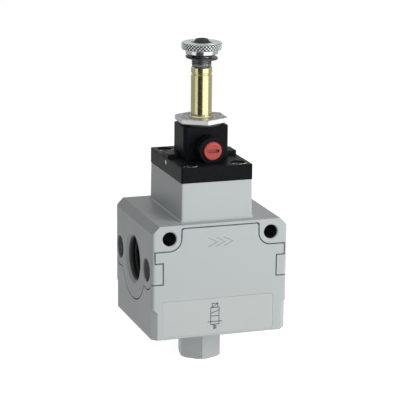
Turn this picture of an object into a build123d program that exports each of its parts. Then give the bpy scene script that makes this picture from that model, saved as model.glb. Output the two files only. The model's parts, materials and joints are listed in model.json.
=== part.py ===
"""Pilot-operated 3/2 poppet isolation valve for compressed air, with its coil taken off.

Millimetres. +Z is up, the front with the cover panel faces -Y, air enters on the left (-X) and
leaves on the right (+X). The origin is the middle of the exhaust hexagon's lower face, on the
upright axis that the stem, the piston and the armature share. The moving parts are at rest:
coil off, stem up, supply seat shut, exhaust open.
"""
import os
from math import cos, radians, sin, tan

from build123d import *

os.makedirs("parts", exist_ok=True)

# Driving sizes of the outside, millimetres and degrees
body_width = 60.0             # between the two port faces
body_depth = 54.0
body_height = 49.6
body_corner = 1.3             # upright edges above the foot
body_shoulder = 3.2           # 45 degree chamfer along the top of both port faces
foot_height = 13.4            # lower part, with chamfered upright edges
foot_blend = 1.2              # height over which the chamfer runs out
foot_chamfer = 2.3
foot_round = 0.6              # bottom rim

exhaust_hex_height = 16.5
exhaust_hex_flats = 17.0
exhaust_hex_turn = -10.0      # from a corner facing the front
exhaust_hex_rim = 0.9
hex_slope = 38.0              # of the turned-off corners

housing_width = 31.2          # at its top
housing_depth = 43.6
housing_height = 16.5
housing_draft = 0.9           # wider below
housing_corner = 0.8
housing_foot = 0.8            # 45 degree foot where it meets the body

plate_width = 31.6
plate_depth = 44.0
plate_height = 6.6
plate_corner = 0.7
plate_edge = 0.25             # chamfer round its top

pilot_width = 20.0
pilot_depth = 15.0
pilot_height = 14.2
pilot_corner = 1.45
pilot_edge = 0.3              # chamfer round its top

# Lower cover and its joint line with the metal body
cover_wall = 2.4
seam = 0.5                    # width of the open joint line
panel_rise = 48.4             # top of the front and back panels above the body's underside
panel_corner = 1.1
ear_radius = 5.1              # round the mounting holes
edge_strip = 0.9              # metal left beside the panels
lug_width = 4.5
lug_height = 8.7

# Mounting holes, front to back
ear_hole = 6.0
ear_spacing = 45.0
ear_rise = 43.9
hole_rim = 0.4

# Ports in the two sides, G 1/2, and the blind clamp sockets beside them
port_rise = 29.0
port_shift = 1.2              # towards the back
inlet_minor = 18.631          # tapping drill at the thread's lower limit
outlet_minor = 19.16          # and just under its upper limit of 19.172
port_major = 20.955
port_pitch = 1.814
port_depth = 14.0
port_mouth = 21.8
port_flange_radius = 17.5
inlet_socket = 10.0           # diameters of the sockets on the left and on the right
outlet_socket = 10.5
socket_spacing = 39.2
socket_depth = 4.2            # stays in the metal behind the edge lugs
socket_boss_radius = 8.0
boss_blend = 1.5

# Exhaust port in the hexagon, G 1/4
exhaust_minor = 11.445
exhaust_major = 13.157
exhaust_pitch = 1.337
exhaust_depth = 12.0
exhaust_mouth = 13.6
exhaust_throat = 9.6
spigot_diameter = 15.8
spigot_length = 12.0
spigot_seal_drop = 3.0        # from the spigot's end to its seal
thread_flank = 27.5           # half the angle of a pipe thread's groove

# Poppet cartridge inside the body
stroke = 5.0
outlet_bore = 21.6
cartridge_bore = 23.0
seat_bore = 15.0
seat_rim_width = 1.1
seat_rim_height = 0.6
exhaust_seat_rise = 17.0      # shoulder of the exhaust seat
supply_seat_rise = 32.0       # shoulder under the supply seat ring
seat_ring_height = 3.0
bush_height = 5.6
bush_legs = 4
bush_leg = 1.5                # radial thickness of the legs that hold the seat ring down
bush_leg_width = 4.5
inlet_slot_width = 12.0
inlet_slot_top = 40.0         # above the body's underside
inlet_slot_overlap = 3.0      # how far the passages reach into the ports
slot_wall = 0.3               # step between the seat ring and the inlet slot
outlet_passage = 12.0
outlet_passage_rise = 25.0
stem_diameter = 8.0
stem_collar = 12.0
stem_collar_height = 1.4
stem_tail = 6.0               # lower part, through the poppet
poppet_diameter = 19.2
poppet_waist = 15.0
poppet_rim = 0.9
poppet_rubber = 1.5
keeper_diameter = 13.2
keeper_height = 0.8
stem_nut_flats = 8.0
stem_nut_height = 2.6
stem_end = 0.6                # tail that stands out below the nut
stem_point = 0.3
return_wire = 0.9
return_coils = 4

# Piston in the housing
piston_bore = 25.2
piston_bore_depth = 12.5
piston_height = 4.5
piston_rest_gap = 0.3
piston_screwed_in = 3.0
gasket_height = 0.4
gasket_margin = 1.0

# Seals: sections of the round cords as squeezed into their grooves
fine_cord = 0.6
cord = 1.0
groove_play = 0.15            # beside a cord, on each side

# Pilot channels
channel = 1.6
channel_offset = 14.0         # supply channel, to the left of the axis
channel_plug = 1.9
cross_channel_rise = 4.6      # above the underside of the plate
feed_channel_offset = 3.4     # piston feed, behind the axis
breather = 1.2                # lets air out from under the piston
breather_rise = 1.6           # above the underside of the housing

# Plate fittings
screw_x = 10.8
screw_y = 17.0
screw_shank = 3.0
screw_head = 5.9
screw_head_height = 3.0
screw_socket_flats = 2.5
screw_socket_depth = 1.5
screw_grip = 8.0              # thread in the body
screw_room = 1.0              # hole below the end of the screw
counterbore = 6.3
counterbore_depth = 3.6
lug_pad_width = 5.0
lug_pad_inset = 0.35          # from the sides of the plate
lug_pad_front = 2.0
lug_pad_back = 6.5
lug_pad_rise = 1.7

# Manual override in the front of the pilot body
boss_diameter = 11.2
boss_reach = 15.3             # face of the boss in front of the axis
override_rise = 5.2           # its axis above the plate
override_diameter = 8.0
override_proud = 0.9
override_head = 4.2
override_edge = 0.3           # chamfer round the face
override_shaft = 4.0
override_cam = 2.8            # round pin, set off to the left and down by half the lift each
override_lift = 0.6
override_cam_start = 4.9      # in front of the upright axis
override_end = 2.6
override_seal_back = 2.4      # from the face of the head to its seal
slot_width = 1.5
slot_length = 5.6
slot_depth = 1.1
mark_radius = 3.0             # middle of the curved arrow on the face
mark_width = 0.5
mark_height = 0.25
mark_start = 40.0             # its tail and its head, from the right towards the left
mark_end = 140.0
mark_head = 0.7               # half the width of the arrow head
mark_head_length = 1.0
retainer = 1.0
retainer_bite = 0.4           # how far the pin reaches into the groove of the shaft
retainer_front = 9.5          # in front of the upright axis
retainer_top = 1.0            # above the override's axis
pilot_gasket_height = 0.4
pilot_gasket_margin = 0.9
pilot_screw = 2.5
pilot_screw_head = 4.4
pilot_screw_head_height = 1.4
pilot_screw_sink = 1.0        # head below the gasket face of the plate
pilot_screw_bite = 4.0        # thread in the pilot body
pilot_screw_x = 7.0
pilot_screw_y = 4.8

# Armature
flange_flats = 20.2
flange_height = 2.0
flange_turn = -3.3
flange_rim = 0.35
flange_face = 18.6
flange_face_height = 1.1
flange_spigot = 12.0
flange_spigot_length = 3.6
tube_diameter = 9.2
tube_wall = 0.5
tube_rise = 21.4              # above the hexagon's upper face
tube_foot = 11.2
tube_foot_height = 0.8
tube_collar = 9.9
tube_collar_height = 0.5
tube_groove_rise = 18.0
tube_groove_height = 1.0
tube_groove_depth = 0.35
tube_groove_flank = 0.25
tube_lip = 0.3
flange_seal_out = 0.8         # from the flange's spigot to the middle of its seal
plunger_stroke = 0.8
plunger_length = 18.0
plunger_below_tube = 0.2
plunger_flat = 0.7            # depth of the flats that let air past
plunger_seal = 4.0
plunger_seal_height = 1.6
nozzle_diameter = 4.0
nozzle_hole = 1.0
nozzle_lip = 2.0
nozzle_reach = 1.5            # above the chamber floor
nozzle_shoulder = 0.5
nozzle_grip = 1.8
chamber_diameter = 9.4
pusher_diameter = 1.4
pusher_offset = 3.3           # in front of the upright axis
plunger_spring_wire = 0.35
plunger_spring = 3.2
plunger_spring_well = 4.2
plunger_spring_length = 6.8
plunger_spring_coils = 7

# Stud, washer and knurled nut on top
stud_diameter = 8.5
stud_groove = 0.35            # depth of the thread
stud_flank = 30.0
stud_pitch = 0.75
stud_neck = 1.0
stud_thread = 9.2
stud_taper = 7.5
stud_tip = 5.1
stud_tip_rise = 1.7
stud_vent = 3.8
stud_vent_depth = 1.2
washer_diameter = 13.8
washer_hole = 9.0
washer_height = 0.8
washer_round = 0.25
washer_rise = 3.6             # above the top of the tube
washer_tilt = 2.5
nut_rise = 5.5
nut_hub = 14.1
nut_hub_height = 1.9
nut_diameter = 17.4
nut_height = 5.1
nut_rim = 0.5

# Front details
chevron_count = 3
chevron_pitch = 3.35
chevron_reach = 4.0
chevron_half_height = 2.05
chevron_line = 0.6
chevron_height = 0.2
chevron_rise = 41.4
label_width = 49.4
label_height = 15.6
label_shift = -0.7            # to the left of the middle
label_rise = 1.1
label_thickness = 0.15
label_corner = 1.2

# Clearances
running = 0.05                # radial, between a moving piece and its guide
slip = 0.05                   # radial, between fixed pieces
thread_play = 0.08            # radial, between the nut and the stud
touch = 0.05                  # between a soft face and what it closes on

# Levels above the origin
body_bottom = exhaust_hex_height
core_bottom = body_bottom + cover_wall
body_top = body_bottom + body_height
housing_top = body_top + housing_height
plate_top = housing_top + plate_height
pilot_top = plate_top + pilot_height
flange_bottom = pilot_top + flange_face_height
flange_top = flange_bottom + flange_height
tube_bottom = pilot_top - flange_spigot_length - tube_foot_height
tube_top = flange_top + tube_rise
port_level = body_bottom + port_rise
lug_bottom = port_level - lug_height / 2
lug_top = port_level + lug_height / 2
ear_level = body_bottom + ear_rise
spigot_top = body_bottom + spigot_length
exhaust_seat = body_bottom + exhaust_seat_rise
supply_seat = body_bottom + supply_seat_rise
seat_ring_top = supply_seat + seat_ring_height
poppet_top = supply_seat - seat_rim_height - touch
poppet_bottom = exhaust_seat + seat_rim_height + touch + stroke
piston_top = body_top + piston_bore_depth - piston_rest_gap
piston_bottom = piston_top - piston_height
cross_channel = housing_top + cross_channel_rise
override_level = plate_top + override_rise
plunger_bottom = tube_bottom - plunger_below_tube
plunger_top = plunger_bottom + plunger_length
core_face = plunger_top + plunger_stroke
nozzle_top = plunger_bottom - touch
chamber_floor = nozzle_top - nozzle_reach
half_width = body_width / 2
half_depth = body_depth / 2
washer_level = tube_top + washer_rise
nut_bottom = tube_top + nut_rise


def save(piece, name):
    """Label a finished piece and write it as one STEP file."""
    piece.part.label = name
    export_step(piece.part, f"parts/{name}.step")


def turned(points, plane=Plane.XZ, axis=Axis.Z):
    """Solid of revolution from an outline of (radius, level) points."""
    with BuildPart() as solid:
        with BuildSketch(plane):
            with BuildLine():
                Polyline(*points, close=True)
            make_face()
        revolve(axis=axis)
    return solid.part


def groove(radius, middle, depth, side=-1, width=None):
    """Outline points of a groove in a wall of this radius, cut inwards, or outwards at side 1."""
    half = (depth if width is None else width) / 2 + groove_play
    bottom = radius + side * depth
    return [(radius, middle - half), (bottom, middle - half), (bottom, middle + half), (radius, middle + half)]


def seal_ring(radius, middle, section, side=-1, plane=Plane.XZ, axis=Axis.Z):
    """Round-cord ring lying in the groove of the same radius, middle and section."""
    with BuildPart() as ring:
        with BuildSketch(plane):
            with Locations((radius + side * section / 2, middle)):
                Circle((section - slip) / 2)
        revolve(axis=axis)
    return ring


def coil_spring(bottom, top, mean_diameter, wire, coils):
    """Round-wire spring about the upright axis, inside the two levels given."""
    rise = top - bottom - wire
    with BuildPart() as spring:
        with BuildLine() as path:
            Helix(rise / coils, rise, mean_diameter / 2, center=(0, 0, bottom + wire / 2))
        with BuildSketch(Plane(origin=path.line @ 0, z_dir=path.line % 0)):
            Circle(wire / 2)
        sweep(is_frenet=True)
    return spring


def thread_outline(start, end, crest, root, pitch, flank=thread_flank):
    """Points from start to end along a thread of round grooves: crest flats and V roots."""
    half = abs(root - crest) * tan(radians(flank))
    step = pitch if end > start else -pitch
    side = half if end > start else -half
    points = [(crest, start)]
    valley = start + step
    while abs(valley + side - start) < abs(end - start) - half:
        points += [(crest, valley - side), (root, valley), (crest, valley + side)]
        valley += step
    return points + [(crest, end)]


def hexagon(flats, height, level, turn, rim):
    """Hexagon bar with its corners turned off at both ends, a corner facing the front."""
    corner = flats / 2 / cos(radians(30))
    with BuildPart() as bar:
        with BuildSketch(Plane.XY.offset(level)):
            RegularPolygon(corner, 6, rotation=turn - 90)
        extrude(amount=height)
        add(turned([
            (0, level), (corner - rim, level), (corner, level + rim * tan(radians(hex_slope))),
            (corner, level + height - rim * tan(radians(hex_slope))), (corner - rim, level + height),
            (0, level + height),
        ]), mode=Mode.INTERSECT)
    return bar.part


# Outside of the body and its cover together
with BuildPart() as envelope:
    foot_top = body_bottom + foot_height
    with BuildSketch(Plane.XY.offset(body_bottom)):
        Rectangle(body_width, body_depth)
        chamfer(vertices(), foot_chamfer)
    extrude(amount=foot_height - foot_blend)
    with BuildSketch(Plane.XY.offset(foot_top - foot_blend)):
        Rectangle(body_width, body_depth)
        chamfer(vertices(), foot_chamfer)
    with BuildSketch(Plane.XY.offset(foot_top)):
        Rectangle(body_width, body_depth)
        chamfer(vertices(), body_corner * (1 - sin(radians(45))) * 2)
    loft()
    with BuildSketch(Plane.XY.offset(foot_top)):
        Rectangle(body_width, body_depth)
        fillet(vertices(), body_corner)
    extrude(amount=body_height - foot_height)
    with BuildSketch(Plane.XZ):
        with Locations((0, body_bottom)):
            Rectangle(body_width, body_height, align=(Align.CENTER, Align.MIN))
        chamfer(vertices().group_by(Axis.Y)[-1], body_shoulder)
    extrude(amount=half_depth, both=True, mode=Mode.INTERSECT)
    fillet(envelope.faces().sort_by(Axis.Z)[0].edges(), foot_round)


def panel_outline(gap):
    """Front or back panel of the cover, drawn back from its joint line by the gap."""
    with BuildSketch() as outline:
        inner = half_width - edge_strip - gap
        low = body_bottom
        with Locations((0, low)):
            Rectangle(2 * inner, ear_level - ear_radius - gap - low, align=(Align.CENTER, Align.MIN))
            Rectangle(ear_spacing, ear_rise, align=(Align.CENTER, Align.MIN))
            Rectangle(
                ear_spacing - 2 * (ear_radius + gap), panel_rise - gap, align=(Align.CENTER, Align.MIN)
            )
        fillet(outline.vertices().group_by(Axis.Y)[-1], panel_corner)
        with Locations((0, low)):
            Rectangle(body_width, lug_bottom - gap - low, align=(Align.CENTER, Align.MIN))
        with Locations((-ear_spacing / 2, ear_level), (ear_spacing / 2, ear_level)):
            Circle(ear_radius + gap, mode=Mode.SUBTRACT)
        with Locations((-half_width, port_level), (half_width, port_level)):
            Rectangle(2 * (lug_width + gap), lug_height + 2 * gap, mode=Mode.SUBTRACT)
    return outline.sketch


def port_flange(gap):
    """Metal round the port and its two clamp sockets, grown by the gap, seen from +X."""
    reach = socket_spacing / 2
    with BuildSketch() as outline:
        with Locations((port_shift, port_level)):
            Circle(port_flange_radius + gap)
        with Locations((port_shift - reach, port_level), (port_shift + reach, port_level)):
            Circle(socket_boss_radius + gap)
        cusps = [
            v for v in outline.vertices()
            if abs(v.X - port_shift) < reach and port_level - socket_boss_radius < v.Y < port_level
        ]
        fillet(cusps, boss_blend)
        for side in (-1, 1):
            with Locations((port_shift + side * (reach + half_depth / 2), port_level - gap)):
                Rectangle(half_depth, lug_height, mode=Mode.ADD)
    return outline.sketch


def cover_region(gap):
    """Everything the lower cover fills: two panels, two low sides and the bottom."""
    with BuildPart() as region:
        with BuildSketch(Plane.XZ.offset(half_depth)):
            add(panel_outline(gap))
        extrude(amount=-cover_wall)
        mirror(about=Plane.XZ)
        with BuildSketch(Plane.YZ.offset(half_width)):
            with Locations((0, body_bottom)):
                Rectangle(body_depth, port_rise, align=(Align.CENTER, Align.MIN))
            add(port_flange(gap), mode=Mode.SUBTRACT)
        extrude(amount=-cover_wall)
        mirror(about=Plane.YZ)
        with BuildSketch(Plane.XY.offset(body_bottom)):
            Rectangle(body_width, body_depth)
        extrude(amount=cover_wall)
    return region.part


def round_edges(piece, radius, level, axis=Axis.Z):
    """Circular edges of one radius whose centre lies at one level along an axis."""
    along = Vector(axis.direction)
    return [
        edge for edge in piece.edges().filter_by(GeomType.CIRCLE)
        if abs(edge.radius - radius) < 0.01 and abs(edge.arc_center.dot(along) - level) < 0.01
    ]


# Metal body: ports, mounting holes, clamp sockets and the stepped bore for the cartridge
side_port = Plane(origin=(0, port_shift, port_level), x_dir=(1, 0, 0), z_dir=(0, -1, 0))
port_axis = Axis((0, port_shift, port_level), (1, 0, 0))
port_end = half_width - port_depth


def port_bore(minor):
    """Room inside one port, turned from its chamfered mouth to the end of its thread."""
    mouth_end = half_width - (port_mouth - minor) / 2
    outline = [(half_width, 0), (half_width, port_mouth / 2)]
    for radius, place in thread_outline(mouth_end, port_end, minor / 2, port_major / 2, port_pitch):
        outline.append((place, radius))
    outline.append((port_end, 0))
    return turned(outline, side_port, port_axis)


slot_bottom = seat_ring_top + slot_wall
slot_top = body_bottom + inlet_slot_top
slot_start = port_end + inlet_slot_overlap
screw_hole = screw_shank / 2 + slip
spigot_hole = spigot_diameter / 2 + slip

with BuildPart() as valve_body:
    add(envelope.part)
    add(cover_region(0), mode=Mode.SUBTRACT)
    with BuildPart(mode=Mode.PRIVATE) as port_cutter:
        add(port_bore(outlet_minor))
        mirror(port_bore(inlet_minor), about=Plane.YZ)
    add(port_cutter.part, mode=Mode.SUBTRACT)
    with BuildSketch(Plane.XZ):
        with Locations((-ear_spacing / 2, ear_level), (ear_spacing / 2, ear_level)):
            Circle(ear_hole / 2)
    extrude(amount=half_depth, both=True, mode=Mode.SUBTRACT)
    for face_y in (-half_depth, half_depth):
        chamfer(round_edges(valve_body, ear_hole / 2, face_y, Axis.Y), hole_rim)
    reach = socket_spacing / 2
    for side, diameter in ((-1, inlet_socket), (1, outlet_socket)):
        with BuildSketch(Plane.YZ.offset(side * half_width)):
            with Locations((port_shift - reach, port_level), (port_shift + reach, port_level)):
                Circle(diameter / 2)
        extrude(amount=-side * socket_depth, mode=Mode.SUBTRACT)
    add(turned([
        (0, core_bottom), (spigot_hole, core_bottom), (spigot_hole, spigot_top),
        (seat_bore / 2, spigot_top),
        (seat_bore / 2, exhaust_seat + seat_rim_height),
        (seat_bore / 2 + seat_rim_width, exhaust_seat + seat_rim_height),
        (seat_bore / 2 + seat_rim_width, exhaust_seat), (outlet_bore / 2, exhaust_seat),
        (outlet_bore / 2, supply_seat), (cartridge_bore / 2, supply_seat),
        (cartridge_bore / 2, body_top), (0, body_top),
    ]), mode=Mode.SUBTRACT)
    with BuildSketch(Plane.XY.offset(slot_bottom)):
        with Locations((-slot_start, port_shift)):
            Rectangle(slot_start, inlet_slot_width, align=(Align.MIN, Align.CENTER))
    extrude(amount=slot_top - slot_bottom, mode=Mode.SUBTRACT)
    with BuildSketch(Plane.YZ):
        with Locations((port_shift, body_bottom + outlet_passage_rise)):
            Circle(outlet_passage / 2)
    extrude(amount=port_end + inlet_slot_overlap, mode=Mode.SUBTRACT)
    with BuildSketch(Plane.XY.offset(slot_top)):
        with Locations((-channel_offset, 0)):
            Circle(channel / 2)
    extrude(amount=body_top - slot_top, mode=Mode.SUBTRACT)
    with BuildSketch(Plane.XY.offset(body_top)):
        with GridLocations(2 * screw_x, 2 * screw_y, 2, 2):
            Circle(screw_hole)
    extrude(amount=-(screw_grip + screw_room), mode=Mode.SUBTRACT)
save(valve_body, "valve_body")

# Lower cover: thin shell with flow marks on the front and a shallow seat for the label
label_centre = (label_shift, body_bottom + label_rise + label_height / 2)
with BuildPart() as lower_cover:
    add(cover_region(seam))
    add(envelope.part, mode=Mode.INTERSECT)
    with BuildSketch(Plane.XY.offset(body_bottom)):
        Circle(spigot_hole)
    extrude(amount=cover_wall, mode=Mode.SUBTRACT)
    with BuildSketch(Plane.XZ.offset(half_depth)):
        first = -(chevron_pitch * (chevron_count - 1) + chevron_reach) / 2
        for mark in range(chevron_count):
            left = first + mark * chevron_pitch
            up, mid = chevron_half_height, body_bottom + chevron_rise
            with BuildLine():
                Polyline(
                    (left, mid + up), (left + chevron_line, mid + up),
                    (left + chevron_reach + chevron_line, mid), (left + chevron_line, mid - up),
                    (left, mid - up), (left + chevron_reach, mid), close=True,
                )
            make_face()
    extrude(amount=chevron_height)
    with BuildSketch(Plane.XZ.offset(half_depth)):
        with Locations(label_centre):
            RectangleRounded(label_width, label_height, label_corner)
    extrude(amount=-label_thickness, mode=Mode.SUBTRACT)
save(lower_cover, "lower_cover")

with BuildPart() as label_film:
    with BuildSketch(Plane.XZ.offset(half_depth)):
        with Locations(label_centre):
            RectangleRounded(label_width - 2 * slip, label_height - 2 * slip, label_corner)
    extrude(amount=-label_thickness)
save(label_film, "label_film")

# Exhaust hexagon: spigot with its seal above, internal pipe thread below
exhaust_lip = (exhaust_mouth - exhaust_minor) / 2
spigot_seal = spigot_top - spigot_seal_drop
with BuildPart() as exhaust_port:
    add(hexagon(exhaust_hex_flats, exhaust_hex_height, 0, exhaust_hex_turn, exhaust_hex_rim))
    add(turned([
        (0, exhaust_depth), (spigot_diameter / 2, exhaust_depth),
        *groove(spigot_diameter / 2, spigot_seal, cord), (spigot_diameter / 2, spigot_top),
        (0, spigot_top),
    ]))
    add(turned([
        (0, 0), (exhaust_mouth / 2, 0),
        *thread_outline(exhaust_lip, exhaust_depth, exhaust_minor / 2, exhaust_major / 2, exhaust_pitch),
        (exhaust_throat / 2, exhaust_depth), (exhaust_throat / 2, spigot_top), (0, spigot_top),
    ]), mode=Mode.SUBTRACT)
save(exhaust_port, "exhaust_port")

exhaust_port_seal = seal_ring(spigot_diameter / 2, spigot_seal, cord)
save(exhaust_port_seal, "exhaust_port_seal")

# Supply seat ring, dropped into the body from above
ring_radius = cartridge_bore / 2 - slip
ring_groove = (supply_seat + seat_ring_top) / 2
rim_radius = seat_bore / 2 + seat_rim_width
with BuildPart() as supply_seat_ring:
    add(turned([
        (seat_bore / 2, supply_seat - seat_rim_height), (rim_radius, supply_seat - seat_rim_height),
        (rim_radius, supply_seat), (ring_radius, supply_seat),
        *groove(ring_radius, ring_groove, cord), (ring_radius, seat_ring_top),
        (seat_bore / 2, seat_ring_top),
    ]))
save(supply_seat_ring, "supply_seat_ring")

seat_ring_seal = seal_ring(ring_radius, ring_groove, cord)
save(seat_ring_seal, "seat_ring_seal")

# Guide bush: its legs hold the seat ring down and leave windows for the inlet air
bush_bottom = body_top - bush_height
bush_groove = (bush_bottom + body_top) / 2
bush_bore = stem_diameter / 2 + running
with BuildPart() as guide_bush:
    add(turned([
        (bush_bore, bush_bottom), (ring_radius, bush_bottom),
        *groove(ring_radius, bush_groove, cord), (ring_radius, body_top), (bush_bore, body_top),
        *reversed(groove(bush_bore, bush_groove, cord, 1)),
    ]))
    with BuildSketch(Plane.XY.offset(seat_ring_top)):
        with PolarLocations(ring_radius, bush_legs, start_angle=180 / bush_legs):
            Rectangle(2 * bush_leg, bush_leg_width)
        Circle(ring_radius, mode=Mode.INTERSECT)
    extrude(amount=bush_bottom - seat_ring_top)
save(guide_bush, "guide_bush")

bush_seal = seal_ring(ring_radius, bush_groove, cord)
save(bush_seal, "bush_seal")

stem_seal = seal_ring(bush_bore, bush_groove, cord, 1)
save(stem_seal, "stem_seal")

# Stem: screwed into the piston above, with a collar and a thin tail for the poppet
keeper_bottom = poppet_bottom - keeper_height
stem_bottom = keeper_bottom - stem_nut_height - stem_end
stem_top = piston_bottom + piston_screwed_in
with BuildPart() as valve_stem:
    stem, tail, collar = stem_diameter / 2, stem_tail / 2, stem_collar / 2
    add(turned([
        (0, stem_bottom), (tail - stem_point, stem_bottom), (tail, stem_bottom + stem_point),
        (tail, poppet_top), (collar, poppet_top), (collar, poppet_top + stem_collar_height),
        (stem, poppet_top + stem_collar_height), (stem, piston_bottom), (tail, piston_bottom),
        (tail, stem_top), (0, stem_top),
    ]))
save(valve_stem, "valve_stem")

# Poppet: metal spool between two rubber rings, held on the tail by a plate and a nut
poppet_hole = stem_tail / 2 + slip
poppet_low, poppet_high = poppet_bottom + poppet_rubber, poppet_top - poppet_rubber
for name, level in (("supply_poppet_seal", poppet_high), ("exhaust_poppet_seal", poppet_bottom)):
    with BuildPart() as poppet_seal:
        with BuildSketch(Plane.XY.offset(level)):
            Circle(poppet_diameter / 2)
            Circle(poppet_hole, mode=Mode.SUBTRACT)
        extrude(amount=poppet_rubber)
    save(poppet_seal, name)

with BuildPart() as poppet:
    rim, waist = poppet_diameter / 2, poppet_waist / 2
    slope = poppet_rim + rim - waist
    add(turned([
        (poppet_hole, poppet_low), (rim, poppet_low), (rim, poppet_low + poppet_rim),
        (waist, poppet_low + slope / 2), (waist, poppet_high - slope / 2),
        (rim, poppet_high - poppet_rim), (rim, poppet_high), (poppet_hole, poppet_high),
    ]))
save(poppet, "poppet")

with BuildPart() as poppet_keeper:
    with BuildSketch(Plane.XY.offset(keeper_bottom)):
        Circle(keeper_diameter / 2)
        Circle(poppet_hole, mode=Mode.SUBTRACT)
    extrude(amount=keeper_height)
save(poppet_keeper, "poppet_keeper")

with BuildPart() as stem_nut:
    with BuildSketch(Plane.XY.offset(keeper_bottom - stem_nut_height)):
        RegularPolygon(stem_nut_flats / 2 / cos(radians(30)), 6)
        Circle(poppet_hole, mode=Mode.SUBTRACT)
    extrude(amount=stem_nut_height)
save(stem_nut, "stem_nut")

spring_mean = (stem_nut_flats / cos(radians(30)) + keeper_diameter + return_wire) / 2
return_spring = coil_spring(spigot_top, keeper_bottom, spring_mean, return_wire, return_coils)
save(return_spring, "return_spring")

# Piston with its lip ring
piston_radius = piston_bore / 2 - running
piston_groove = (piston_top + piston_bottom) / 2
with BuildPart() as piston:
    add(turned([
        (0, stem_top), (poppet_hole, stem_top), (poppet_hole, piston_bottom),
        (piston_radius, piston_bottom), *groove(piston_radius, piston_groove, cord),
        (piston_radius, piston_top), (0, piston_top),
    ]))
save(piston, "piston")

piston_seal = seal_ring(piston_radius, piston_groove, cord)
save(piston_seal, "piston_seal")

# Actuator housing: grey block with the piston chamber open below
draft_growth = 2 * housing_height * tan(radians(housing_draft))
foot_width, foot_depth = housing_width + draft_growth, housing_depth + draft_growth
gasket_width, gasket_depth = foot_width - 2 * gasket_margin, foot_depth - 2 * gasket_margin
with BuildPart() as actuator_housing:
    with BuildSketch(Plane.XY.offset(body_top)):
        Rectangle(foot_width, foot_depth)
        fillet(vertices(), housing_corner)
    extrude(amount=housing_height, taper=housing_draft)
    with BuildSketch(Plane.XY.offset(body_top)):
        Rectangle(foot_width + 2 * housing_foot, foot_depth + 2 * housing_foot)
        fillet(vertices(), housing_corner + housing_foot)
    extrude(amount=housing_foot, taper=45)
    with BuildSketch(Plane.XY.offset(body_top)):
        Circle(piston_bore / 2)
    extrude(amount=piston_bore_depth, mode=Mode.SUBTRACT)
    with BuildSketch(Plane.XY.offset(body_top)):
        RectangleRounded(gasket_width, gasket_depth, housing_corner)
    extrude(amount=gasket_height, mode=Mode.SUBTRACT)
    with BuildSketch(Plane.XY.offset(body_top)):
        with GridLocations(2 * screw_x, 2 * screw_y, 2, 2):
            Circle(screw_shank / 2 + 2 * slip)
        with Locations((-channel_offset, 0)):
            Circle(channel / 2)
    extrude(amount=housing_height, mode=Mode.SUBTRACT)
    with BuildSketch(Plane.XY.offset(housing_top)):
        with Locations((0, feed_channel_offset)):
            Circle(channel / 2)
    extrude(amount=-(housing_height - piston_bore_depth), mode=Mode.SUBTRACT)
    with BuildSketch(Plane.XZ):
        with Locations((0, body_top + breather_rise)):
            Circle(breather / 2)
    extrude(amount=-foot_depth, mode=Mode.SUBTRACT)
save(actuator_housing, "actuator_housing")

with BuildPart() as housing_gasket:
    with BuildSketch(Plane.XY.offset(body_top)):
        RectangleRounded(gasket_width - 2 * slip, gasket_depth - 2 * slip, housing_corner)
        Circle(piston_bore / 2 + slip, mode=Mode.SUBTRACT)
        with GridLocations(2 * screw_x, 2 * screw_y, 2, 2):
            Circle(screw_shank / 2 + 2 * slip, mode=Mode.SUBTRACT)
        with Locations((-channel_offset, 0)):
            Circle(channel / 2, mode=Mode.SUBTRACT)
    extrude(amount=gasket_height)
save(housing_gasket, "housing_gasket")

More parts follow.
